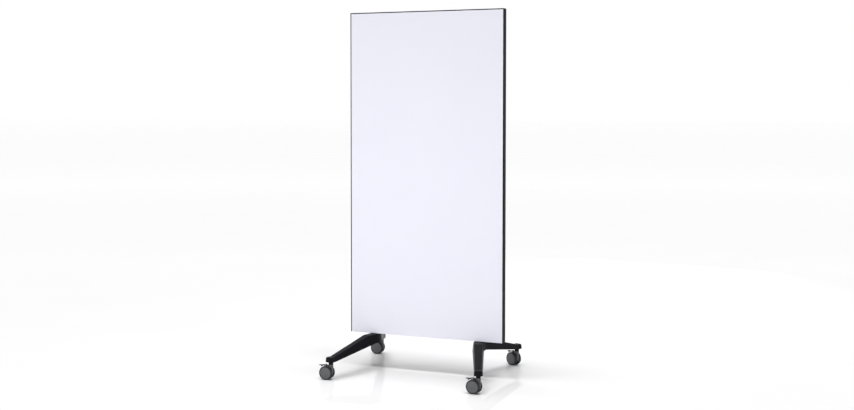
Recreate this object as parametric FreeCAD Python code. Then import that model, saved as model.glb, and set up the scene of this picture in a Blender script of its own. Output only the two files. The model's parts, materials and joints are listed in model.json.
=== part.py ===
import FreeCAD, Part
import math
import os

# Mobile glass whiteboard. Millimetres, X to the right, Y to the rear, Z up.
# The origin is on the floor, under the middle of the panel.

V = FreeCAD.Vector
UP = V(0, 0, 1)

# Overlap of cutting shapes past the face they cut, and the slack in finding edges and faces
OVER = 1.0
NEAR = 0.01
TINY = 1e-6
UPWARD = 0.5

# Panel and its frame
BOARD_WIDTH = 900.0
BOARD_HEIGHT = 1800.0
FRAME_DEPTH = 40.0
FRAME_LIP = 5.0
TONGUE = 20.0
EXTRUSION_WALL = 2.0
RAIL_FLOOR = 8.0
GLASS = 4.0
STEEL_SHEET = 0.5
GLASS_JOINT = 0.3
CORE_JOINT = 0.3
KEY_LEG = 70.0
KEY_FIT = 0.1

# Foot casting: hub under the panel, two arms that splay outwards, a cup at each end
HUB_INSET = 147.0
ARM_SPLAY = 116.0
ARM_REACH = 349.0
HUB_RISE = 101.0
HUB_DEPTH = 48.0
HUB_FLAT = 84.0
HUB_UNDERSIDE_FLAT = 30.0
HUB_BASE_WIDTH = 66.0
HUB_TOP_WIDTH = 55.0
ARM_END_TOP = 24.0
ARM_END_INSET = 2.0
CUP_HALF = 23.5
CUP_BACK = 14.0
CUP_HEIGHT = 27.0
CUP_EDGE = 9.0
CUP_TAPER = 1.0
CUP_TOP_CORNER = 1.5
SPIGOT_RADIUS = 12.5
SPIGOT_LENGTH = 13.7
FOOT_EDGE = 9.0
FOOT_BEND = 40.0
HUB_INNER_CORNER = 130.0
HUB_OUTER_CORNER = 100.0
FOOT_WALL = 4.5
HUB_ROOF = 10.0
ARM_ROOF = 5.0
RIB = 4.0
RIB_FIRST = 62.0
RIBS_PER_ARM = 4

# Bolted joint between a foot and the bottom rail: a raised seat on the hub, two bolts from below
SEAT_SHIFT = 5.0
SEAT_HEIGHT = 2.0
SEAT_WIDTH = 36.0
SEAT_DEPTH = 28.0
BOLT_RADIUS = 4.0
BOLT_HEAD = 5.3
BOLT_HEAD_FLATS = 13.0
BOLT_SPACING = 22.0
BOLT_HOLE_RADIUS = 4.3
THREAD_FIT = 0.05

# Castor: a stem in the cup, a swivelling yoke, two wheels on one axle, a brake lever
CASTOR_HEIGHT = 97.0
WHEEL_RADIUS = 37.5
WHEEL_WIDTH = 16.0
WHEEL_GAP = 0.5
TRAIL = 24.0
YOKE_THICKNESS = 15.0
YOKE_RADIUS = 34.0
YOKE_UNDERSIDE = 26.0
NECK_RADIUS = 13.0
NECK_CLEAR = 1.0
SPIGOT_CLEAR = 0.3
STEM_RADIUS = 5.0
STEM_IN_CUP = 24.0
STEM_END = 48.0
BORE_END_GAP = 0.5
AXLE_RADIUS = 4.0
AXLE_IN_WHEEL = 12.5
RUNNING_FIT = 0.05

# Brake lever: measured from the stem along the trail, and from the floor
LEVER_PIVOT_OUT = 30.0
LEVER_PIVOT_HEIGHT = 77.5
LEVER_TIP_OUT = 71.0
LEVER_TIP_DROP = 1.5
LEVER_TRAVEL = 12.0
LEVER_HEEL_RADIUS = 5.5
LEVER_CHEEK = 3.0
LEVER_SIDE_CLEAR = 0.3
PEDAL_START = 7.0
PEDAL_WIDTH = 18.0
PEDAL_THICKNESS = 3.0
PEDAL_CORNER = 4.0
SHOE_OUT = 14.0
SHOE_LENGTH = 8.0
SHOE_WIDTH = 34.0
SHOE_DROP = 20.0
BRAKE_CLEAR = 0.4
LUG_RADIUS = 4.5
LUG_THICKNESS = 8.0
LUG_CLEAR = 0.6
PIN_RADIUS = 2.5
PIN_END = 1.0

# Turn of each castor about its stem, seen from above, clockwise from the trail pointing left
CASTOR_TURN = {
    "front_left": 0.0,
    "front_right": 6.0,
    "rear_left": -2.0,
    "rear_right": 27.0,
}

# Places worked out from the sizes above
HUB_TOP = CASTOR_HEIGHT + HUB_RISE
HUB_BASE = HUB_TOP - HUB_DEPTH
PANEL_BOTTOM = HUB_TOP + SEAT_HEIGHT
PANEL_TOP = PANEL_BOTTOM + BOARD_HEIGHT
BOLT_END = PANEL_BOTTOM + RAIL_FLOOR
HALF_WIDTH = BOARD_WIDTH / 2
HALF_DEPTH = FRAME_DEPTH / 2
TONGUE_HALF = HALF_DEPTH - GLASS - STEEL_SHEET
HUB_X = HALF_WIDTH - HUB_INSET
SEAT_X = HUB_X + SEAT_SHIFT
STEM_X = HUB_X + ARM_SPLAY
ARM_LENGTH = math.hypot(ARM_SPLAY, ARM_REACH)
ARM_ANGLE = math.atan2(ARM_SPLAY, ARM_REACH)
ARM_TOP_END = CASTOR_HEIGHT + ARM_END_TOP
SPIGOT_END = CASTOR_HEIGHT - SPIGOT_LENGTH
NECK_TOP = SPIGOT_END - SPIGOT_CLEAR
YOKE_HALF = YOKE_THICKNESS / 2
WHEEL_INNER = YOKE_HALF + WHEEL_GAP
WHEEL_OUTER = WHEEL_INNER + WHEEL_WIDTH
AXLE_HALF = WHEEL_INNER + AXLE_IN_WHEEL
WHEEL_CENTRE = V(-TRAIL, 0, WHEEL_RADIUS)
LEVER_PIVOT = V(-LEVER_PIVOT_OUT, 0, LEVER_PIVOT_HEIGHT)


# Drawing helpers

def in_xz(y):
    """Place a drawing (u, v) in the upright plane that faces the front, at depth y."""
    return lambda u, v: V(u, y, v)


def in_xy(z):
    """Place a drawing (u, v) flat, at height z."""
    return lambda u, v: V(u, v, z)


def outline(points, place):
    """Closed wire through (u, v, corner radius) points, with a tangent arc at each rounded corner."""
    count = len(points)
    stops = []
    for i in range(count):
        corner = V(points[i][0], points[i][1], 0)
        radius = points[i][2] if len(points[i]) > 2 else 0
        back = V(points[i - 1][0], points[i - 1][1], 0) - corner
        ahead = V(points[(i + 1) % count][0], points[(i + 1) % count][1], 0) - corner
        back.normalize()
        ahead.normalize()
        half = back.getAngle(ahead) / 2
        reach = radius / math.tan(half)
        towards = back + ahead
        if radius:
            towards.normalize()
        middle = corner + towards * (radius / math.sin(half) - radius)
        stops.append((corner + back * reach, middle, corner + ahead * reach, radius))
    edges = []
    for i in range(count):
        arrive, middle, leave, radius = stops[i]
        start = stops[i - 1][2]
        if (arrive - start).Length > TINY:
            edges.append(Part.makeLine(place(start.x, start.y), place(arrive.x, arrive.y)))
        if radius:
            ends = [place(p.x, p.y) for p in (arrive, middle, leave)]
            edges.append(Part.Arc(*ends).toShape())
    return Part.Wire(edges)


def prism(points, place, along):
    """Solid from a closed drawing pushed along a vector."""
    return Part.Face(outline(points, place)).extrude(along)


def slab_xz(points, half):
    """Solid from a front-facing drawing, as thick to the front as to the rear."""
    return prism(points, in_xz(-half), V(0, 2 * half, 0))


def box(low, high):
    size = high - low
    return Part.makeBox(size.x, size.y, size.z, low)


def turned(points, axis_start, axis_direction, place):
    """Solid of revolution from a closed drawing."""
    return Part.Face(outline(points, place)).revolve(axis_start, axis_direction, 360)


def rod(radius, start, end):
    return Part.makeCylinder(radius, (end - start).Length, start, end - start)


def upright(radius, x, low, high):
    return rod(radius, V(x, 0, low), V(x, 0, high))


def mirrored_x(shape):
    return shape.mirror(V(0, 0, 0), V(1, 0, 0))


def mirrored_y(shape):
    return shape.mirror(V(0, 0, 0), V(0, 1, 0))


# Panel

def writing_sheet(front, back):
    """Glass or steel sheet between two depths, inside the frame's lip and down to the panel's foot."""
    half = HALF_WIDTH - FRAME_LIP - GLASS_JOINT
    return box(V(-half, front, PANEL_BOTTOM), V(half, back, PANEL_TOP - FRAME_LIP - GLASS_JOINT))


def core_board():
    edge = FRAME_LIP + TONGUE + CORE_JOINT
    low = V(-HALF_WIDTH + edge, -TONGUE_HALF, PANEL_BOTTOM + TONGUE + CORE_JOINT)
    return box(low, V(HALF_WIDTH - edge, TONGUE_HALF, PANEL_TOP - edge))


def frame_section(lip, outer_wall):
    """Section of a frame bar, seen along it: u runs inwards from the lip, v runs through the depth."""
    tongue = [
        (0, -TONGUE_HALF),
        (TONGUE, -TONGUE_HALF),
        (TONGUE, TONGUE_HALF),
        (0, TONGUE_HALF),
    ]
    if lip:
        tongue += [
            (0, HALF_DEPTH),
            (-FRAME_LIP, HALF_DEPTH),
            (-FRAME_LIP, -HALF_DEPTH),
            (0, -HALF_DEPTH),
        ]
    wall = EXTRUSION_WALL
    hollow = [
        (outer_wall, -TONGUE_HALF + wall),
        (TONGUE - wall, -TONGUE_HALF + wall),
        (TONGUE - wall, TONGUE_HALF - wall),
        (outer_wall, TONGUE_HALF - wall),
    ]
    return tongue, hollow


def frame_bar(lip, outer_wall, place, along, mitre):
    """Hollow extruded bar, trimmed to its mitred outline in the panel's plane."""
    section, hollow = frame_section(lip, outer_wall)
    bar = prism(section, place, along).cut(prism(hollow, place, along))
    return bar.common(slab_xz(mitre, HALF_DEPTH))


def right_stile():
    inner = HALF_WIDTH - FRAME_LIP
    mitre = [
        (HALF_WIDTH, PANEL_BOTTOM),
        (HALF_WIDTH, PANEL_TOP),
        (inner - TONGUE, PANEL_TOP - FRAME_LIP - TONGUE),
        (inner - TONGUE, PANEL_BOTTOM + TONGUE),
        (inner, PANEL_BOTTOM),
    ]
    place = lambda u, v: V(inner - u, v, PANEL_BOTTOM)
    return frame_bar(True, EXTRUSION_WALL, place, UP * BOARD_HEIGHT, mitre)


def top_rail():
    inner = HALF_WIDTH - FRAME_LIP - TONGUE
    under = PANEL_TOP - FRAME_LIP
    mitre = [
        (-HALF_WIDTH, PANEL_TOP),
        (HALF_WIDTH, PANEL_TOP),
        (inner, under - TONGUE),
        (-inner, under - TONGUE),
    ]
    place = lambda u, v: V(-HALF_WIDTH, v, under - u)
    return frame_bar(True, EXTRUSION_WALL, place, V(BOARD_WIDTH, 0, 0), mitre)


def bottom_rail():
    """Hollow bar behind the glass, with a thick floor that the foot bolts screw into."""
    outer = HALF_WIDTH - FRAME_LIP
    inner = outer - TONGUE
    mitre = [
        (-outer, PANEL_BOTTOM),
        (outer, PANEL_BOTTOM),
        (inner, PANEL_BOTTOM + TONGUE),
        (-inner, PANEL_BOTTOM + TONGUE),
    ]
    place = lambda u, v: V(-outer, v, PANEL_BOTTOM + u)
    bar = frame_bar(False, RAIL_FLOOR, place, V(2 * outer, 0, 0), mitre)
    for side in (-1, 1):
        for x in bolt_places(side):
            thread = upright(BOLT_RADIUS + THREAD_FIT, x, PANEL_BOTTOM - OVER, BOLT_END + OVER)
            bar = bar.cut(thread)
    return bar


def corner_keys():
    """Angle pieces that sit in the hollow bars and hold the four mitres."""
    inset = EXTRUSION_WALL + KEY_FIT
    half = TONGUE_HALF - inset
    outer = HALF_WIDTH - FRAME_LIP - inset
    inner = HALF_WIDTH - FRAME_LIP - TONGUE + inset
    top = PANEL_TOP - FRAME_LIP
    rail_top = PANEL_BOTTOM + TONGUE
    legs = [
        (top - inset, top - TONGUE + inset, -1),
        (PANEL_BOTTOM + RAIL_FLOOR + KEY_FIT, rail_top - inset, 1),
    ]
    keys = []
    for outer_z, inner_z, way in legs:
        points = [
            (outer, outer_z),
            (outer, outer_z + way * KEY_LEG),
            (inner, outer_z + way * KEY_LEG),
            (inner, inner_z),
            (outer - KEY_LEG, inner_z),
            (outer - KEY_LEG, outer_z),
        ]
        key = slab_xz(points, half)
        keys += [key, mirrored_x(key)]
    return Part.makeCompound(keys)


# Bolted joint of the feet

def bolt_places(side):
    """Where a foot's bolts stand along the rail, on the right (side 1) or the left (side -1)."""
    return [side * (SEAT_X + i * BOLT_SPACING / 2) for i in (-1, 1)]


def foot_bolts():
    """Hexagon bolts, put in from under the hub."""
    seat = HUB_TOP - HUB_ROOF
    corner = BOLT_HEAD_FLATS / math.sqrt(3)
    turns = [i * math.pi / 3 for i in range(6)]
    bolts = []
    for side in (-1, 1):
        for x in bolt_places(side):
            hexagon = [(x + corner * math.cos(a), corner * math.sin(a)) for a in turns]
            head = prism(hexagon, in_xy(seat - BOLT_HEAD), UP * BOLT_HEAD)
            shank = upright(BOLT_RADIUS, x, seat, BOLT_END)
            bolts.append(head.fuse(shank).removeSplitter())
    return Part.makeCompound(bolts)


# Foot casting, drawn on the right; s runs along an arm from the hub, w across it

def arm_point(s, w, z):
    """Point of the right foot's front arm."""
    along = V(math.sin(ARM_ANGLE), -math.cos(ARM_ANGLE), 0)
    across = V(math.cos(ARM_ANGLE), math.sin(ARM_ANGLE), 0)
    return V(HUB_X, 0, z) + along * s + across * w


def arm_half_width(s, z):
    """Half the arm's width at a place along it and a height: its drafted sides are flat."""
    draft = (HUB_TOP_WIDTH - HUB_BASE_WIDTH) / 2 / HUB_DEPTH
    end = CUP_HALF - ARM_END_INSET - draft * (CASTOR_HEIGHT - HUB_BASE)
    taper = (end - HUB_BASE_WIDTH / 2) / ARM_LENGTH
    return HUB_BASE_WIDTH / 2 + taper * s + draft * (z - HUB_BASE)


def arm_sides(wall, reach):
    """Block between an arm's two drafted sides, moved in by a wall, from behind the hub to a reach."""
    behind = -HUB_BASE_WIDTH
    low = CASTOR_HEIGHT - CUP_HEIGHT
    high = HUB_TOP + CUP_HEIGHT
    halves = []
    for side in (-1, 1):
        corners = []
        for s, z in ((behind, low), (reach, low), (reach, high), (behind, high)):
            corners.append(arm_point(s, side * (arm_half_width(s, z) - wall), z))
        face = Part.Face(Part.makePolygon(corners + corners[:1]))
        halves.append(face.extrude(arm_point(0, -side * 2 * HUB_BASE_WIDTH, 0) - arm_point(0, 0, 0)))
    return halves[0].common(halves[1])


def arm_side_view(profile, wall, reach):
    """Arm cut from its side view and its drafted sides, as far as the plane between the two arms."""
    over = HUB_BASE_WIDTH
    face = Part.Face(outline(profile, lambda s, z: arm_point(s, -over, z)))
    blank = face.extrude(arm_point(0, over, 0) - arm_point(0, -over, 0))
    arm = blank.common(arm_sides(wall, reach))
    front = box(V(HUB_X - 2 * ARM_LENGTH, -2 * ARM_LENGTH, 0), V(HUB_X + 2 * ARM_LENGTH, 0, PANEL_TOP))
    return arm.common(front)


def foot_blank():
    """Both arms in one piece, with the hub's corners and the upper edges rounded."""
    behind = -HUB_BASE_WIDTH
    profile = [
        (behind, HUB_TOP),
        (HUB_FLAT, HUB_TOP, FOOT_BEND),
        (ARM_LENGTH, ARM_TOP_END),
        (ARM_LENGTH, CASTOR_HEIGHT),
        (ARM_LENGTH - CUP_BACK, CASTOR_HEIGHT),
        (HUB_UNDERSIDE_FLAT, HUB_BASE),
        (behind, HUB_BASE),
    ]
    arm = arm_side_view(profile, 0, ARM_LENGTH)
    blank = arm.fuse(mirrored_y(arm)).removeSplitter()
    for radius, inboard in ((HUB_INNER_CORNER, False), (HUB_OUTER_CORNER, True)):
        creases = [e for e in blank.Edges if is_hub_crease(e, inboard)]
        blank = blank.makeFillet(radius, creases)
    return blank.makeFillet(FOOT_EDGE, upper_edges(blank))


def is_hub_crease(edge, inboard):
    """Whether an edge is the steep crease where the two arms meet, on the inboard or outboard side."""
    ends = [v.Point for v in edge.Vertexes]
    if len(ends) < 2 or max(abs(p.y) for p in ends) > NEAR:
        return False
    steep = abs(ends[0].z - ends[1].z) > HUB_DEPTH / 2
    return steep and (ends[0].x < HUB_X) == inboard


def upper_edges(blank):
    """Edges between the casting's upper faces and its sides."""
    found = []
    for edge in blank.Edges:
        faces = blank.ancestorsOfType(edge, Part.Face)
        if len(faces) < 2:
            continue
        tilts = sorted(face_tilt(f) for f in faces)
        middle = edge.valueAt((edge.FirstParameter + edge.LastParameter) / 2)
        at_end = abs(abs(middle.y) - ARM_REACH) < CUP_HALF and face_is_end(faces)
        if tilts[0] < UPWARD < tilts[1] and not at_end:
            found.append(edge)
    return found


def face_tilt(face):
    """How far a face looks upwards, from -1 to 1, at its middle."""
    u0, u1, v0, v1 = face.ParameterRange
    return face.normalAt((u0 + u1) / 2, (v0 + v1) / 2).z


def face_is_end(faces):
    """Whether one of the faces is the flat end of an arm, inside the cup."""
    near_end = [f for f in faces if abs(f.CenterOfMass.y) > ARM_REACH - CUP_HALF]
    return any(abs(face_tilt(f)) < NEAR for f in near_end)


def cup_outline(taper, z):
    """Plan of the cup at a height: a square with round corners, drawn in by a taper."""
    half = CUP_HALF - taper
    back = taper - CUP_BACK
    corner = CUP_TOP_CORNER + CUP_TAPER + CUP_EDGE - taper
    corners = [(back, -half), (half, -half), (half, half), (back, half)]
    points = [(ARM_LENGTH + s, w, corner) for s, w in corners]
    return outline(points, lambda s, w: arm_point(s, w, z))


def cup():
    """Socket block at the front arm's end: tapered, its upper edge broken twice, with a spigot below."""
    top = CASTOR_HEIGHT + CUP_HEIGHT
    turn = math.radians(45)
    sections = [
        cup_outline(0, CASTOR_HEIGHT),
        cup_outline(CUP_TAPER, top - CUP_EDGE),
        cup_outline(CUP_TAPER + CUP_EDGE * (1 - math.cos(turn)), top - CUP_EDGE * (1 - math.sin(turn))),
        cup_outline(CUP_TAPER + CUP_EDGE, top),
    ]
    block = Part.makeLoft(sections, True, True)
    spigot = rod(SPIGOT_RADIUS, stem_place(SPIGOT_END), stem_place(CASTOR_HEIGHT))
    return block.fuse(spigot).removeSplitter()


def stem_place(z):
    """Point of the front castor's stem axis, at a height."""
    return arm_point(ARM_LENGTH, 0, z)


def underside_pockets():
    """Hollows of the casting, open below, with cross ribs left standing between them."""
    behind = -HUB_BASE_WIDTH
    reach = ARM_LENGTH - CUP_HALF
    slope = (HUB_TOP - ARM_TOP_END) / (ARM_LENGTH - HUB_FLAT)
    end_roof = HUB_TOP - ARM_ROOF - slope * (reach - HUB_FLAT)
    below = CASTOR_HEIGHT - FOOT_WALL
    profile = [
        (behind, HUB_TOP - HUB_ROOF),
        (HUB_FLAT, HUB_TOP - HUB_ROOF),
        (reach, end_roof),
        (reach, below),
        (behind, below),
    ]
    hollow = arm_side_view(profile, FOOT_WALL, reach)
    pitch = (reach - RIB_FIRST) / RIBS_PER_ARM
    for i in range(RIBS_PER_ARM):
        s = RIB_FIRST + i * pitch
        start = arm_point(s, -HUB_BASE_WIDTH, below)
        section = [start, arm_point(s + RIB, -HUB_BASE_WIDTH, below)]
        section += [arm_point(s + RIB, HUB_BASE_WIDTH, below), arm_point(s, HUB_BASE_WIDTH, below)]
        rib = Part.Face(Part.makePolygon(section + [start])).extrude(UP * HUB_TOP)
        hollow = hollow.cut(rib)
    return hollow


def right_foot():
    foot = foot_blank()
    socket_end = stem_place(CASTOR_HEIGHT + STEM_IN_CUP + BORE_END_GAP)
    socket = rod(STEM_RADIUS + RUNNING_FIT, stem_place(SPIGOT_END - OVER), socket_end)
    pockets = underside_pockets()
    for flip in (False, True):
        pieces = [cup(), socket, pockets]
        if flip:
            pieces = [mirrored_y(p) for p in pieces]
        foot = foot.fuse(pieces[0]).cut(pieces[1]).cut(pieces[2])
    seat_corner = V(SEAT_WIDTH / 2, SEAT_DEPTH / 2, 0)
    middle = V(SEAT_X, 0, HUB_TOP)
    foot = foot.fuse(box(middle - seat_corner - UP * OVER, middle + seat_corner + UP * SEAT_HEIGHT))
    for x in bolt_places(1):
        foot = foot.cut(upright(BOLT_HOLE_RADIUS, x, HUB_BASE, PANEL_BOTTOM + OVER))
    return foot.removeSplitter()


# Castor pieces, drawn with the stem on the Z axis and the trail pointing to -X

def castor_stem():
    return rod(STEM_RADIUS, UP * STEM_END, UP * (CASTOR_HEIGHT + STEM_IN_CUP))


def castor_yoke():
    """Body between the wheels: a round web, a neck for the stem and a lug for the brake lever."""
    web = rod(YOKE_RADIUS, WHEEL_CENTRE + V(0, -YOKE_HALF, 0), WHEEL_CENTRE + V(0, YOKE_HALF, 0))
    left = -TRAIL - 2 * YOKE_RADIUS
    web = web.cut(box(V(left, -YOKE_HALF, -YOKE_RADIUS), V(-left, YOKE_HALF, YOKE_UNDERSIDE)))
    neck_web = box(V(-NECK_RADIUS, -YOKE_HALF, WHEEL_RADIUS), V(NECK_RADIUS, YOKE_HALF, NECK_TOP))
    reach = TRAIL - NECK_RADIUS
    clear = WHEEL_RADIUS + NECK_CLEAR
    neck_floor = WHEEL_RADIUS + math.sqrt(clear * clear - reach * reach)
    neck = rod(NECK_RADIUS, UP * neck_floor, UP * NECK_TOP)
    web_in_neck = neck_web.common(rod(NECK_RADIUS, UP * WHEEL_RADIUS, UP * NECK_TOP))
    lug_flat = LUG_RADIUS * math.tan(math.pi / 8)
    lug_view = [
        (LUG_RADIUS, WHEEL_RADIUS - LEVER_PIVOT_HEIGHT),
        (LUG_RADIUS, lug_flat),
        (lug_flat, LUG_RADIUS),
        (-lug_flat, LUG_RADIUS),
        (-LUG_RADIUS, lug_flat),
        (-LUG_RADIUS, WHEEL_RADIUS - LEVER_PIVOT_HEIGHT),
    ]
    lug = slab_xz(lug_view, LUG_THICKNESS / 2)
    lug.translate(LEVER_PIVOT)
    yoke = web.fuse([web_in_neck, neck, lug]).removeSplitter()
    across = V(0, YOKE_THICKNESS, 0)
    stem_bore = upright(STEM_RADIUS + RUNNING_FIT, 0, STEM_END - BORE_END_GAP, NECK_TOP + OVER)
    axle_bore = rod(AXLE_RADIUS + RUNNING_FIT, WHEEL_CENTRE - across, WHEEL_CENTRE + across)
    pin_bore = rod(PIN_RADIUS + RUNNING_FIT, LEVER_PIVOT - across, LEVER_PIVOT + across)
    return yoke.cut([stem_bore, axle_bore, pin_bore])


def castor_axle():
    return rod(AXLE_RADIUS, WHEEL_CENTRE - V(0, AXLE_HALF, 0), WHEEL_CENTRE + V(0, AXLE_HALF, 0))


def about_axle(points):
    """Solid of revolution about the axle; u is the radius, v the distance out from the castor's middle."""
    return turned(points, WHEEL_CENTRE, V(0, 1, 0), lambda u, v: WHEEL_CENTRE + V(0, -v, u))


def castor_wheel():
    """Wheel with its tread moulded on, and a blind bore for the axle."""
    bore = AXLE_RADIUS + RUNNING_FIT
    bore_end = AXLE_HALF + BORE_END_GAP
    drawing = [
        (bore, WHEEL_INNER),
        (WHEEL_RADIUS, WHEEL_INNER),
        (WHEEL_RADIUS, WHEEL_OUTER),
        (0, WHEEL_OUTER),
        (0, bore_end),
        (bore, bore_end),
    ]
    return about_axle(drawing)


def brake_lever():
    """Rocker: a pedal, two cheeks round the lug and a shoe that follows the treads."""
    out = LEVER_PIVOT_OUT
    heel = LEVER_HEEL_RADIUS
    heel_top = LEVER_PIVOT_HEIGHT + heel
    tip_top = LEVER_PIVOT_HEIGHT - LEVER_TIP_DROP
    fall = (heel_top - tip_top) / (LEVER_TIP_OUT - out)
    start = out + PEDAL_START
    start_top = heel_top - fall * PEDAL_START
    shoe_start = out + SHOE_OUT
    shoe_end = shoe_start + SHOE_LENGTH
    cheek_in = LUG_THICKNESS / 2 + LEVER_SIDE_CLEAR
    cheek_out = cheek_in + LEVER_CHEEK
    arm_view = [
        (-out, heel_top),
        (-out, heel_top - 2 * heel),
        (-shoe_start, heel_top - fall * SHOE_OUT - PEDAL_THICKNESS),
        (-shoe_start, heel_top - fall * SHOE_OUT),
    ]
    across = V(0, cheek_out, 0)
    arm = slab_xz(arm_view, cheek_out).fuse(rod(heel, LEVER_PIVOT - across, LEVER_PIVOT + across))
    room = box(V(-start, -cheek_in, 0), V(0, cheek_in, LEVER_PIVOT_HEIGHT + LUG_RADIUS + LUG_CLEAR))
    pedal_view = [
        (-start, start_top),
        (-LEVER_TIP_OUT, tip_top),
        (-LEVER_TIP_OUT, tip_top - PEDAL_THICKNESS),
        (-start, start_top - PEDAL_THICKNESS),
    ]
    half = PEDAL_WIDTH / 2
    plan = [
        (-start, -half),
        (-start, half),
        (-LEVER_TIP_OUT + PEDAL_CORNER, half),
        (-LEVER_TIP_OUT, half - PEDAL_CORNER),
        (-LEVER_TIP_OUT, -half + PEDAL_CORNER),
        (-LEVER_TIP_OUT + PEDAL_CORNER, -half),
    ]
    pedal = slab_xz(pedal_view, half).common(prism(plan, in_xy(0), UP * PANEL_BOTTOM))
    shoe_top = heel_top - fall * (SHOE_OUT + SHOE_LENGTH) - PEDAL_THICKNESS / 2
    shoe_half = SHOE_WIDTH / 2
    shoe = box(V(-shoe_end, -shoe_half, shoe_top - SHOE_DROP), V(-shoe_start, shoe_half, shoe_top))
    lever = arm.cut(room).fuse([pedal, shoe]).removeSplitter()
    reach = V(0, SHOE_WIDTH, 0)
    treads = rod(WHEEL_RADIUS + BRAKE_CLEAR, WHEEL_CENTRE - reach, WHEEL_CENTRE + reach)
    treads.rotate(LEVER_PIVOT, V(0, 1, 0), LEVER_TRAVEL)
    pin_bore = rod(PIN_RADIUS + RUNNING_FIT, LEVER_PIVOT - reach, LEVER_PIVOT + reach)
    return lever.cut([treads, pin_bore])


def brake_pin():
    """Pin that carries the lever in the yoke's lug, its ends standing out of the cheeks."""
    across = V(0, LUG_THICKNESS / 2 + LEVER_SIDE_CLEAR + LEVER_CHEEK + PIN_END, 0)
    return rod(PIN_RADIUS, LEVER_PIVOT - across, LEVER_PIVOT + across)


def castor_pieces():
    """One castor, as named pieces: a is the wheel towards the front, b the one towards the rear."""
    wheel = castor_wheel()
    return {
        "castor_stem": castor_stem(),
        "castor_yoke": castor_yoke(),
        "castor_axle": castor_axle(),
        "castor_wheel_a": wheel,
        "castor_wheel_b": mirrored_y(wheel),
        "brake_lever": brake_lever(),
        "brake_pin": brake_pin(),
    }


def corner_place(corner):
    """Floor point under a castor's stem."""
    x = -STEM_X if "left" in corner else STEM_X
    y = -ARM_REACH if "front" in corner else ARM_REACH
    return V(x, y, 0)


# Whole object

def all_pieces():
    foot = right_foot()
    stile = right_stile()
    pieces = {
        "front_glass": writing_sheet(-HALF_DEPTH, -HALF_DEPTH + GLASS),
        "rear_glass": writing_sheet(HALF_DEPTH - GLASS, HALF_DEPTH),
        "front_steel_sheet": writing_sheet(-HALF_DEPTH + GLASS, -TONGUE_HALF),
        "rear_steel_sheet": writing_sheet(TONGUE_HALF, HALF_DEPTH - GLASS),
        "core_board": core_board(),
        "left_stile": mirrored_x(stile),
        "right_stile": stile,
        "top_rail": top_rail(),
        "bottom_rail": bottom_rail(),
        "corner_keys": corner_keys(),
        "foot_bolts": foot_bolts(),
        "left_foot": mirrored_x(foot),
        "right_foot": foot,
    }
    castor = castor_pieces()
    for corner, turn in CASTOR_TURN.items():
        for name, shape in castor.items():
            placed = shape.copy()
            placed.rotate(V(0, 0, 0), UP, -turn)
            placed.translate(corner_place(corner))
            pieces[corner + "_" + name] = placed
    return pieces


os.makedirs("parts", exist_ok=True)
for node, shape in all_pieces().items():
    shape.exportStep("parts/" + node + ".step")
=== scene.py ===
import json
import math

import bpy
from mathutils import Matrix, Vector


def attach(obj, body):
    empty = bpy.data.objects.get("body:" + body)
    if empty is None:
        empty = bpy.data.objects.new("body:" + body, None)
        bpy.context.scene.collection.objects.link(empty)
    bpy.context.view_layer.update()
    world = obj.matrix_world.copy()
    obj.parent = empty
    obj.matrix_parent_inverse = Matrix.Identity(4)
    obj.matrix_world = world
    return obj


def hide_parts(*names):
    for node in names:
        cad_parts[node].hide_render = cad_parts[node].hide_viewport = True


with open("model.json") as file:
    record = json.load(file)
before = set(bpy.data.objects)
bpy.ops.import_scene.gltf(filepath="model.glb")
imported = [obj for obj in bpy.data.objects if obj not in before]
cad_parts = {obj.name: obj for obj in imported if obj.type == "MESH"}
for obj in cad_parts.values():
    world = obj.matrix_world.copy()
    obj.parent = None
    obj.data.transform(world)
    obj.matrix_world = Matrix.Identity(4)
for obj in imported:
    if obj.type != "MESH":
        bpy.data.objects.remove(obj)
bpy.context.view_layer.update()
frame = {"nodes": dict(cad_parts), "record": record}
nodes = frame["nodes"]
record = frame["record"]
joints = {joint["name"]: joint for joint in record["behaviour"]["joints"]}
body_of = {node: body for body, held in record["behaviour"]["bodies"].items() for node in held}
slot_of = {subpart["node"]: subpart["material_slot"] for subpart in record["subparts"]}

CORNERS = ("front_left", "front_right", "rear_left", "rear_right")

# Camera: where the photograph was taken from, in metres and degrees
EYE = (2.2378, -5.8709, 1.4806)
TURN = 21.749
LOOK_DOWN = 2.424
SENSOR = 36.0
LENS = 48.053
SHIFT_RIGHT = 0.02119
SHIFT_DOWN = 0.05971

# Studio: the even light from all round, where 1 would make a white surface white, how far the overhead
# lamps reach to both sides, the spread of the low lamps in degrees, and the floor in metres
SKY = 0.31
LEANS = (-0.32, -0.16, 0, 0.16, 0.32)
BOX_SPREAD = 110
FLOOR_SIZE = 200

# Part of a noise's range that holds most of its values
GRAIN_LOW = 0.3
GRAIN_HIGH = 0.7

# Edges and faces: rounds and welds in metres, angles in degrees, how much of an axis a normal needs for its
# face to count as facing along it, and how much large faces outweigh small ones, where 50 is neutral
GLASS_ROUND = 0.0008
BAR_ROUND = 0.0006
YOKE_ROUND = 0.0009
WELD = 0.000002
FLAT = 0.4
SHARP = 35
SMOOTH = 30
LEVER_SMOOTH = 35
PIN_SMOOTH = 50
FACING = 0.9
GLASS_FACING = 0.95
FLAT_WEIGHT = 100

# Castor, in metres, drawn with its stem on the Z axis and its trail pointing to -X
WHEEL_RADIUS = 0.0375
WHEEL_INNER = 0.008
WHEEL_OUTER = 0.024
DISC_RADIUS = 0.0305
DISC_PROUD = 0.0006
TREAD_ROUND = 0.0034
RIM_WALL = 0.0075
WHEEL_HOLLOW = 0.0045
HUB_INSET = 0.020
RIM_SLACK = 0.0001
SAME_PLACE = 1e-6
WHEEL_SIDES = 96
TRAIL = 0.024
LEVER_PIVOT = Vector((-0.030, 0, 0.0775))
LEVER_TRAVEL = math.radians(12)
LEVER_HEEL = -0.0238
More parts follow.
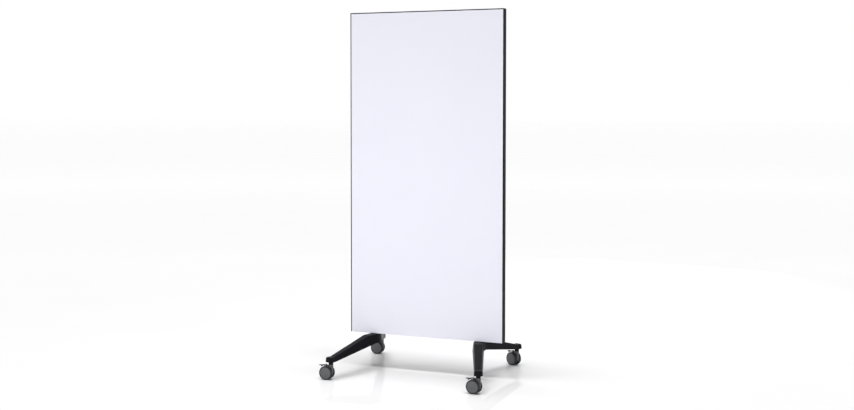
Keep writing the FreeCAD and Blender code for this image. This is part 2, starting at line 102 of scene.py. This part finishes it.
# Along the lever from the heel to the tip: x, underside, upper side, half width
LEVER_STATIONS = (
    (-0.0270, 0.0720, 0.0840, 0.0073),
    (-0.0330, 0.0720, 0.0840, 0.0073),
    (-0.0375, 0.0730, 0.0802, 0.0084),
    (-0.0450, 0.0736, 0.0790, 0.0090),
    (-0.0550, 0.0736, 0.0782, 0.0090),
    (-0.0630, 0.0740, 0.0778, 0.0088),
    (-0.0690, 0.0746, 0.0776, 0.0070),
    (-0.0710, 0.0752, 0.0776, 0.0046),
)
SHOE_LOW = (-0.0520, -0.017, 0.058)
SHOE_HIGH = (-0.0440, 0.017, 0.0770)
SHOE_ROUND = 0.0015
BRAKE_CLEAR = 0.0006
TREADS_WIDTH = 0.06
TREADS_SIDES = 192
LUG_ROOM = 0.0043
LUG_ROOM_BACK = -0.037
LUG_ROOM_LOW = 0.05
LUG_ROOM_TOP = 0.0826
PIN_RADIUS = 0.0025
PIN_HEAD = 0.0034
PIN_HEAD_HEIGHT = 0.0008
PIN_DOME = 0.7
PIN_HALF = 0.0083
PIN_FIT = 0.00005
PIN_BORE_LENGTH = 0.03
PIN_SIDES = 48

# Inboard wall of a foot round its bend, in metres: the round outside, how it leans with the draft of the
# casting, the wall, and the box that the closing piece is cut from
BEND_RADIUS = 0.1
BEND_CENTRE = (0.3779, 0, 0.169)
BEND_LEAN = 0.1229
BEND_WALL = 0.004
BEND_SKIN = 0.0001
BEND_NEAR = 0.268
BEND_FAR = 0.295
BEND_HALF = 0.027
BEND_LOW = 0.15002
BEND_HIGH = 0.1885
BEND_SIDES = 256


# Colours and nodes

def linear(hex_colour):
    """sRGB hex to the linear colour that a shader takes."""
    channels = [int(hex_colour[i:i + 2], 16) / 255 for i in (1, 3, 5)]
    return [c / 12.92 if c <= 0.04045 else ((c + 0.055) / 1.055) ** 2.4 for c in channels] + [1.0]


def add_node(tree, kind, settings=None, links=None):
    """One shader node, with its settings by name and its inputs by socket name.
    An input is a value or another node's output."""
    node = tree.nodes.new(kind)
    for name, value in (settings or {}).items():
        setattr(node, name, value)
    for name, value in (links or {}).items():
        if isinstance(value, bpy.types.NodeSocket):
            tree.links.new(value, node.inputs[name])
        else:
            node.inputs[name].default_value = value
    return node


def surface(name, tones, patch, rough, grain, stretch=(1, 1, 1), relief=0.0, constants=None):
    """Material whose colour drifts between two tones in patches, and whose roughness and relief follow a
    finer grain. Sizes are in metres; a small stretch draws the pattern out along that axis."""
    material = bpy.data.materials.new(name)
    material.use_nodes = True
    tree = material.node_tree
    tree.nodes.clear()
    where = add_node(tree, "ShaderNodeTexCoord")
    mapped = add_node(tree, "ShaderNodeMapping", links={
        "Vector": where.outputs["Object"], "Scale": stretch})
    broad, fine = (
        add_node(tree, "ShaderNodeTexNoise", links={"Vector": mapped.outputs["Vector"], "Scale": 1 / size})
        for size in (patch, grain))
    tone = add_node(tree, "ShaderNodeMix", {"data_type": "RGBA"}, {
        0: broad.outputs["Fac"], 6: linear(tones[0]), 7: linear(tones[1])})
    polish = add_node(tree, "ShaderNodeMapRange", links={
        "Value": fine.outputs["Fac"], "From Min": GRAIN_LOW, "From Max": GRAIN_HIGH,
        "To Min": rough[0], "To Max": rough[1]})
    bump = add_node(tree, "ShaderNodeBump", links={"Height": fine.outputs["Fac"], "Distance": relief})
    shader = add_node(tree, "ShaderNodeBsdfPrincipled", links={
        "Base Color": tone.outputs[2], "Roughness": polish.outputs["Result"],
        "Normal": bump.outputs["Normal"]})
    for socket, value in (constants or {}).items():
        shader.inputs[socket].default_value = value
    add_node(tree, "ShaderNodeOutputMaterial", links={"Surface": shader.outputs["BSDF"]})
    return material


# Materials

def back_painted_glass():
    """Float glass with white enamel behind it: an even cool white under a clear polish."""
    return surface("white back-painted glass", ("#ededf9", "#efeffa"), 0.35, (0.05, 0.09), 0.06,
                   constants={"IOR": 1.52})


def glass_edge():
    """Polished edge of float glass: green grey, a little uneven from the wheel."""
    return surface("polished glass edge", ("#8d9698", "#9aa3a5"), 0.004, (0.1, 0.18), 0.004,
                   (0.05, 1, 0.05), constants={"IOR": 1.52})


def anodised_black():
    """Extruded aluminium, anodised black: a satin sheen with faint lines along the bar."""
    return surface("satin black anodised aluminium", ("#121214", "#19191b"), 0.02, (0.36, 0.46), 0.0016,
                   (1, 1, 0.01), constants={"Specular IOR Level": 0.02})


def powder_coat_black():
    """Die-cast aluminium with black powder coat: satin, with a fine orange peel."""
    return surface("black powder coat", ("#151418", "#1b1a1e"), 0.04, (0.32, 0.40), 0.0022,
                   relief=0.00002, constants={"Specular IOR Level": 0.035})


def moulded_plastic(name, tones, rough, shine):
    """Injection-moulded plastic with a fine spark-eroded grain."""
    return surface(name, tones, 0.012, (rough - 0.06, rough + 0.06), 0.0009,
                   relief=0.00002, constants={"Specular IOR Level": shine})


def tread_rubber():
    """Soft castor rubber: matt, a little dusty where it rolls."""
    return surface("castor tread rubber", ("#2f2f33", "#3a3a3f"), 0.006, (0.6, 0.75), 0.0012,
                   relief=0.00003, constants={"Specular IOR Level": 0.15})


def zinc_plate():
    """Bright zinc-plated steel with faint turning marks."""
    return surface("zinc-plated steel", ("#a6a6a8", "#c4c4c6"), 0.004, (0.22, 0.36), 0.0012, (1, 0.2, 1),
                   constants={"Metallic": 1.0})


def primed_steel():
    """Steel sheet with a pale primer: matt and even."""
    return surface("primed steel sheet", ("#dcdcdf", "#e6e6e8"), 0.02, (0.4, 0.5), 0.004)


def honeycomb_paper():
    """Kraft paper core: brown and dull."""
    return surface("paper honeycomb", ("#a88a62", "#bb9d74"), 0.006, (0.8, 0.95), 0.002)


GLASS_EDGE = glass_edge()
GREY_NYLON = moulded_plastic("grey moulded nylon", ("#5c5c5d", "#646565"), 0.45, 0.2)
FINISH = {
    "white_glass": back_painted_glass(),
    "backing_steel": primed_steel(),
    "honeycomb_core": honeycomb_paper(),
    "black_frame": anodised_black(),
    "cast_key": zinc_plate(),
    "black_casting": powder_coat_black(),
    "zinc_steel": zinc_plate(),
    "castor_plastic": GREY_NYLON,
    "wheel_rubber": tread_rubber(),
    "lever_plastic": moulded_plastic("dark grey moulded nylon", ("#35323a", "#3e3b44"), 0.42, 0.03),
}

for node, slot in slot_of.items():
    nodes[node].data.materials.clear()
    nodes[node].data.materials.append(FINISH[slot])


# Modelling helpers

def deselect():
    bpy.ops.object.select_all(action="DESELECT")


def work_on(piece):
    """Makes a piece the only one selected, and the active one."""
    deselect()
    piece.select_set(True)
    bpy.context.view_layer.objects.active = piece


def settle(piece):
    """Puts a piece's place, turn and size into its mesh."""
    work_on(piece)
    bpy.ops.object.transform_apply(location=True, rotation=True, scale=True)


def pick_faces(piece, test):
    """In edit mode, selects the faces whose centre and normal pass a test."""
    work_on(piece)
    bpy.ops.object.mode_set(mode="EDIT")
    bpy.ops.mesh.select_mode(type="FACE")
    bpy.ops.mesh.select_all(action="DESELECT")
    bpy.ops.object.mode_set(mode="OBJECT")
    for face in piece.data.polygons:
        face.select = test(face.center, face.normal)
    bpy.ops.object.mode_set(mode="EDIT")


def pick_edges(piece, test):
    """In edit mode, selects the edges whose two ends pass a test."""
    work_on(piece)
    bpy.ops.object.mode_set(mode="EDIT")
    bpy.ops.mesh.select_mode(type="EDGE")
    bpy.ops.mesh.select_all(action="DESELECT")
    bpy.ops.object.mode_set(mode="OBJECT")
    points = piece.data.vertices
    for edge in piece.data.edges:
        edge.select = test(*(points[i].co for i in edge.vertices))
    bpy.ops.object.mode_set(mode="EDIT")


def leave_edit():
    bpy.ops.object.mode_set(mode="OBJECT")


def apply_modifier(piece, kind, **settings):
    work_on(piece)
    modifier = piece.modifiers.new(kind.title(), kind)
    for name, value in settings.items():
        setattr(modifier, name, value)
    bpy.ops.object.modifier_apply(modifier=modifier.name)


def join_shape(piece, tool, operation):
    """Adds a tool shape to a piece or cuts it out, and clears the tool away."""
    apply_modifier(piece, "BOOLEAN", operation=operation, solver="EXACT", object=tool)
    bpy.data.objects.remove(tool)


def shade(piece, degrees):
    work_on(piece)
    bpy.ops.object.shade_smooth_by_angle(angle=math.radians(degrees))


def shade_flats(piece):
    """Smooths the rounds of a piece and keeps its flat faces flat to the light."""
    shade(piece, SMOOTH)
    apply_modifier(piece, "WEIGHTED_NORMAL", weight=FLAT_WEIGHT, keep_sharp=True)


def block(low, high):
    """Box between two corners."""
    deselect()
    low, high = Vector(low), Vector(high)
    bpy.ops.mesh.primitive_cube_add(size=1, location=(low + high) / 2, scale=high - low)
    settle(bpy.context.object)
    return bpy.context.object


def drum(radius, depth, centre, axis, sides):
    """Cylinder about a centre, along an axis."""
    deselect()
    turn = Vector(axis).to_track_quat("Z", "Y").to_euler()
    bpy.ops.mesh.primitive_cylinder_add(
        vertices=sides, radius=radius, depth=depth, location=centre, rotation=turn)
    settle(bpy.context.object)
    return bpy.context.object


def finish_piece(piece, name, node, materials):
    """Names a piece, gives it its finish, and sets it in the place of its CAD node."""
    piece.name = name
    piece.data.name = name
    for material in materials:
        piece.data.materials.append(material)
    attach(piece, body_of[node])
    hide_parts(node)


def softened(node, name, width):
    """Copy of a CAD node, welded, with its sharp edges broken by a small round if it has a width."""
    mesh = nodes[node].data.copy()
    mesh.materials.clear()
    piece = bpy.data.objects.new(name, mesh)
    bpy.context.scene.collection.objects.link(piece)
    work_on(piece)
    bpy.ops.object.mode_set(mode="EDIT")
    bpy.ops.mesh.select_all(action="SELECT")
    bpy.ops.mesh.remove_doubles(threshold=WELD)
    bpy.ops.mesh.dissolve_limited(angle_limit=math.radians(FLAT))
    leave_edit()
    if width:
        apply_modifier(piece, "BEVEL", width=width, segments=3, limit_method="ANGLE",
                       angle_limit=math.radians(SHARP), use_clamp_overlap=True)
    return piece


# Castor pieces

def radius_from_axle(point):
    return math.hypot(point.x + TRAIL, point.z - WHEEL_RADIUS)


def on_rim(a, b):
    """True for an edge that runs round the rim, not across it."""
    nearest = min(radius_from_axle(a), radius_from_axle(b))
    return nearest > WHEEL_RADIUS - RIM_SLACK and abs(a.y - b.y) < SAME_PLACE


def wheel_model():
    """Front wheel: a rounded tread, a flat disc standing a little proud, a hollow inner side with a hub."""
    width = WHEEL_OUTER - WHEEL_INNER - DISC_PROUD
    middle = -(WHEEL_INNER + width / 2)
    wheel = drum(WHEEL_RADIUS, width, (-TRAIL, middle, WHEEL_RADIUS), (0, 1, 0), WHEEL_SIDES)
    pick_faces(wheel, lambda centre, normal: normal.y < -FACING)
    bpy.ops.mesh.inset(thickness=WHEEL_RADIUS - DISC_RADIUS)
    bpy.ops.mesh.extrude_region_move(TRANSFORM_OT_translate={"value": (0, -DISC_PROUD / 2, 0)})
    bpy.ops.mesh.inset(thickness=DISC_PROUD, depth=DISC_PROUD / 2)
    leave_edit()
    pick_faces(wheel, lambda centre, normal: normal.y > FACING)
    bpy.ops.mesh.inset(thickness=RIM_WALL)
    bpy.ops.mesh.extrude_region_move(TRANSFORM_OT_translate={"value": (0, -WHEEL_HOLLOW, 0)})
    bpy.ops.mesh.inset(thickness=HUB_INSET)
    bpy.ops.mesh.extrude_region_move(TRANSFORM_OT_translate={"value": (0, WHEEL_HOLLOW, 0)})
    leave_edit()
    pick_edges(wheel, on_rim)
    bpy.ops.mesh.bevel(offset=TREAD_ROUND, segments=6, profile=0.5)
    leave_edit()
    for face in wheel.data.polygons:
        face.material_index = 1 if radius_from_axle(face.center) < DISC_RADIUS else 0
    shade(wheel, SMOOTH)
    return wheel


def lever_model():
    """Brake rocker: a thin pedal, a bump at the heel, two cheeks at the pin and a shoe over the treads."""
    x, low, high, half = LEVER_STATIONS[0]
    lever = block((x, -half, low), (LEVER_HEEL, half, high))
    pick_faces(lever, lambda centre, normal: normal.x < -FACING)
    for before, station in zip(LEVER_STATIONS, LEVER_STATIONS[1:]):
        was_x, was_low, was_high, was_half = before
        x, low, high, half = station
        lift = (low + high - was_low - was_high) / 2
        bpy.ops.mesh.extrude_region_move(TRANSFORM_OT_translate={"value": (x - was_x, 0, lift)})
        size = (1, half / was_half, (high - low) / (was_high - was_low))
        bpy.ops.transform.resize(value=size, center_override=(x, 0, (low + high) / 2))
    leave_edit()
    apply_modifier(lever, "SUBSURF", levels=3, render_levels=3)
    shoe = block(SHOE_LOW, SHOE_HIGH)
    apply_modifier(shoe, "BEVEL", width=SHOE_ROUND, segments=3)
    tread_place = Matrix.Rotation(LEVER_TRAVEL, 3, "Y") @ (Vector((-TRAIL, 0, WHEEL_RADIUS)) - LEVER_PIVOT)
    tread_radius = WHEEL_RADIUS + BRAKE_CLEAR
    treads = drum(tread_radius, TREADS_WIDTH, LEVER_PIVOT + tread_place, (0, 1, 0), TREADS_SIDES)
    join_shape(shoe, treads, "DIFFERENCE")
    join_shape(lever, shoe, "UNION")
    room = block((LUG_ROOM_BACK, -LUG_ROOM, LUG_ROOM_LOW), (0, LUG_ROOM, LUG_ROOM_TOP))
    join_shape(lever, room, "DIFFERENCE")
    bore = drum(PIN_RADIUS + PIN_FIT, PIN_BORE_LENGTH, LEVER_PIVOT, (0, 1, 0), PIN_SIDES)
    join_shape(lever, bore, "DIFFERENCE")
    shade(lever, LEVER_SMOOTH)
    return lever


def pin_model():
    """Lever pin with a low domed head at each end."""
    pin = drum(PIN_RADIUS, 2 * PIN_HALF, LEVER_PIVOT, (0, 1, 0), PIN_SIDES)
    for side in (-1, 1):
        pick_faces(pin, lambda centre, normal: normal.y * side > FACING)
        bpy.ops.transform.translate(value=(0, -side * PIN_HEAD_HEIGHT, 0))
        bpy.ops.mesh.extrude_region_move(TRANSFORM_OT_translate={"value": (0, 0, 0)})
        grow = PIN_HEAD / PIN_RADIUS
        bpy.ops.transform.resize(value=(grow, 1, grow), center_override=LEVER_PIVOT)
        bpy.ops.mesh.extrude_region_move(TRANSFORM_OT_translate={"value": (0, side * PIN_HEAD_HEIGHT, 0)})
        bpy.ops.transform.resize(value=(PIN_DOME, 1, PIN_DOME), center_override=LEVER_PIVOT)
        leave_edit()
    shade(pin, PIN_SMOOTH)
    return pin


def castor_place(corner):
    """Where a castor stands and how it is turned, as the joints say."""
    stem = joints[corner + "_swivel"]["pos_m"]
    axle = joints[corner + "_wheel_a_spin"]["axis"]
    turn = math.atan2(axle[0], axle[1])
    return Matrix.Translation((stem[0], stem[1], 0)) @ Matrix.Rotation(-turn, 4, "Z")


def placed_copy(model, corner, mirrored=False):
    """A copy of a castor piece with a mesh of its own, set in its corner."""
    piece = bpy.data.objects.new(model.name, model.data.copy())
    bpy.context.scene.collection.objects.link(piece)
    flip = Matrix.Diagonal((1, -1, 1, 1)) if mirrored else Matrix.Identity(4)
    piece.matrix_world = castor_place(corner) @ flip
    settle(piece)
    if mirrored:
        bpy.ops.object.mode_set(mode="EDIT")
        bpy.ops.mesh.select_all(action="SELECT")
        bpy.ops.mesh.normals_make_consistent(inside=False)
        leave_edit()
    return piece


def castors():
    wheel, lever, pin = wheel_model(), lever_model(), pin_model()
    for corner in CORNERS:
        for side, mirrored in (("a", False), ("b", True)):
            node = corner + "_castor_wheel_" + side
            piece = placed_copy(wheel, corner, mirrored)
            name = corner + "_wheel_" + side + "_with_tread"
            finish_piece(piece, name, node, [FINISH["wheel_rubber"], GREY_NYLON])
        rocker = placed_copy(lever, corner)
        finish_piece(rocker, corner + "_brake_rocker", corner + "_brake_lever", [FINISH["lever_plastic"]])
        domed_pin = placed_copy(pin, corner)
        finish_piece(domed_pin, corner + "_domed_pin", corner + "_brake_pin", [FINISH["zinc_steel"]])
        yoke = softened(corner + "_castor_yoke", corner + "_castor_body", YOKE_ROUND)
        shade_flats(yoke)
        finish_piece(yoke, yoke.name, corner + "_castor_yoke", [GREY_NYLON])
    for model in (wheel, lever, pin):
        bpy.data.objects.remove(model)


# Board and feet

def close_bend(foot, side):
    """Closes a foot's inboard wall round its bend, where the hollow of the CAD casting breaks through."""
    x, y, z = BEND_CENTRE
    centre, axis = (side * x, y, z), (side * BEND_LEAN, 0, 1)
    near, far = sorted((side * BEND_NEAR, side * BEND_FAR))
    wall = block((near, -BEND_HALF, BEND_LOW), (far, BEND_HALF, BEND_HIGH))
    outside = drum(BEND_RADIUS - BEND_SKIN, BEND_RADIUS, centre, axis, BEND_SIDES)
    join_shape(wall, outside, "INTERSECT")
    inside = drum(BEND_RADIUS - BEND_WALL, BEND_RADIUS, centre, axis, BEND_SIDES)
    join_shape(wall, inside, "DIFFERENCE")
    join_shape(foot, wall, "UNION")


def board():
    for side in ("front", "rear"):
        node = side + "_glass"
        sheet = softened(node, side + "_glass_sheet", GLASS_ROUND)
        shade_flats(sheet)
        for face in sheet.data.polygons:
            face.material_index = 0 if abs(face.normal.y) > GLASS_FACING else 1
        finish_piece(sheet, sheet.name, node, [FINISH["white_glass"], GLASS_EDGE])
    for node in ("left_stile", "right_stile", "top_rail"):
        bar = softened(node, node + "_extrusion", BAR_ROUND)
        shade_flats(bar)
        finish_piece(bar, bar.name, node, [FINISH["black_frame"]])
    for node, side in (("left_foot", -1), ("right_foot", 1)):
        foot = softened(node, node + "_casting", 0)
        close_bend(foot, side)
        shade_flats(foot)
        finish_piece(foot, foot.name, node, [FINISH["black_casting"]])


board()
castors()


# Floor, light and camera

def studio_floor():
    """Pale polished floor that mirrors the castors faintly."""
    deselect()
    bpy.ops.mesh.primitive_plane_add(size=FLOOR_SIZE)
    floor = bpy.context.object
    floor.name = "studio_floor"
    polish = surface("pale polished floor", ("#dddddd", "#e0e0e0"), 0.8, (0.004, 0.012), 0.5,
                     constants={"Specular IOR Level": 0.04})
    floor.data.materials.append(polish)


def seen_directly(tree):
    """1 for what the eye sees, straight, mirrored or through glass, and 0 for light that falls on things."""
    path = add_node(tree, "ShaderNodeLightPath")
    mirror = add_node(tree, "ShaderNodeMath", {"operation": "MAXIMUM"}, {
        0: path.outputs["Is Glossy Ray"], 1: path.outputs["Is Transmission Ray"]})
    either = add_node(tree, "ShaderNodeMath", {"operation": "MAXIMUM"}, {
        0: path.outputs["Is Camera Ray"], 1: mirror.outputs[0]})
    return either.outputs[0]


def sun(name, aim, strength, softness):
    """Distant soft light that shines along a direction."""
    light = bpy.data.lights.new(name, "SUN")
    light.energy = strength
    light.angle = math.radians(softness)
    lamp = bpy.data.objects.new(name, light)
    bpy.context.scene.collection.objects.link(lamp)
    lamp.visible_glossy = False
    lamp.rotation_euler = Vector(aim).to_track_quat("-Z", "Y").to_euler()


def strip(name, tilt, strength, softness):
    """Long overhead lamp, parallel to the board: a fan of suns that blurs the shadows of the feet."""
    for lean in LEANS:
        sun(name, (lean, tilt, -1), strength / len(LEANS), softness)


def soft_box(name, place, target, size, power):
    """Wide lamp that faces a point, to even out the light on the glass towards the floor."""
    light = bpy.data.lights.new(name, "AREA")
    light.shape = "RECTANGLE"
    light.size, light.size_y = size
    light.spread = math.radians(BOX_SPREAD)
    light.energy = power
    lamp = bpy.data.objects.new(name, light)
    bpy.context.scene.collection.objects.link(lamp)
    lamp.visible_glossy = False
    lamp.visible_camera = False
    lamp.location = place
    lamp.rotation_euler = (Vector(target) - Vector(place)).to_track_quat("-Z", "Y").to_euler()


def studio_world():
    """White to the eye all round, and a softer even light on the object."""
    world = bpy.data.worlds.new("studio")
    bpy.context.scene.world = world
    world.use_nodes = True
    tree = world.node_tree
    tree.nodes.clear()
    strength = add_node(tree, "ShaderNodeMapRange", links={
        "Value": seen_directly(tree), "To Min": SKY, "To Max": 1.0})
    white = add_node(tree, "ShaderNodeBackground", links={
        "Color": linear("#ffffff"), "Strength": strength.outputs["Result"]})
    add_node(tree, "ShaderNodeOutputWorld", links={"Surface": white.outputs["Background"]})


def photograph_camera():
    data = bpy.data.cameras.new("photograph")
    data.sensor_width = SENSOR
    data.lens = LENS
    data.shift_x = SHIFT_RIGHT
    data.shift_y = -SHIFT_DOWN
    camera = bpy.data.objects.new("photograph", data)
    bpy.context.scene.collection.objects.link(camera)
    camera.location = EYE
    camera.rotation_euler = (math.radians(90 - LOOK_DOWN), 0, math.radians(TURN))
    bpy.context.scene.camera = camera


studio_floor()
studio_world()
strip("overhead front", tilt=0.175, strength=2.4, softness=14)
strip("overhead rear", tilt=-0.16, strength=0.9, softness=10)
soft_box("low front", place=(-0.6, -3.6, 0.8), target=(-0.1, 0, 1.0), size=(1.8, 1.4), power=15)
soft_box("low rear", place=(0.6, 5.0, 0.5), target=(0, 0, 0.9), size=(1.8, 0.8), power=30)
photograph_camera()
bpy.context.scene.view_settings.view_transform = "Standard"
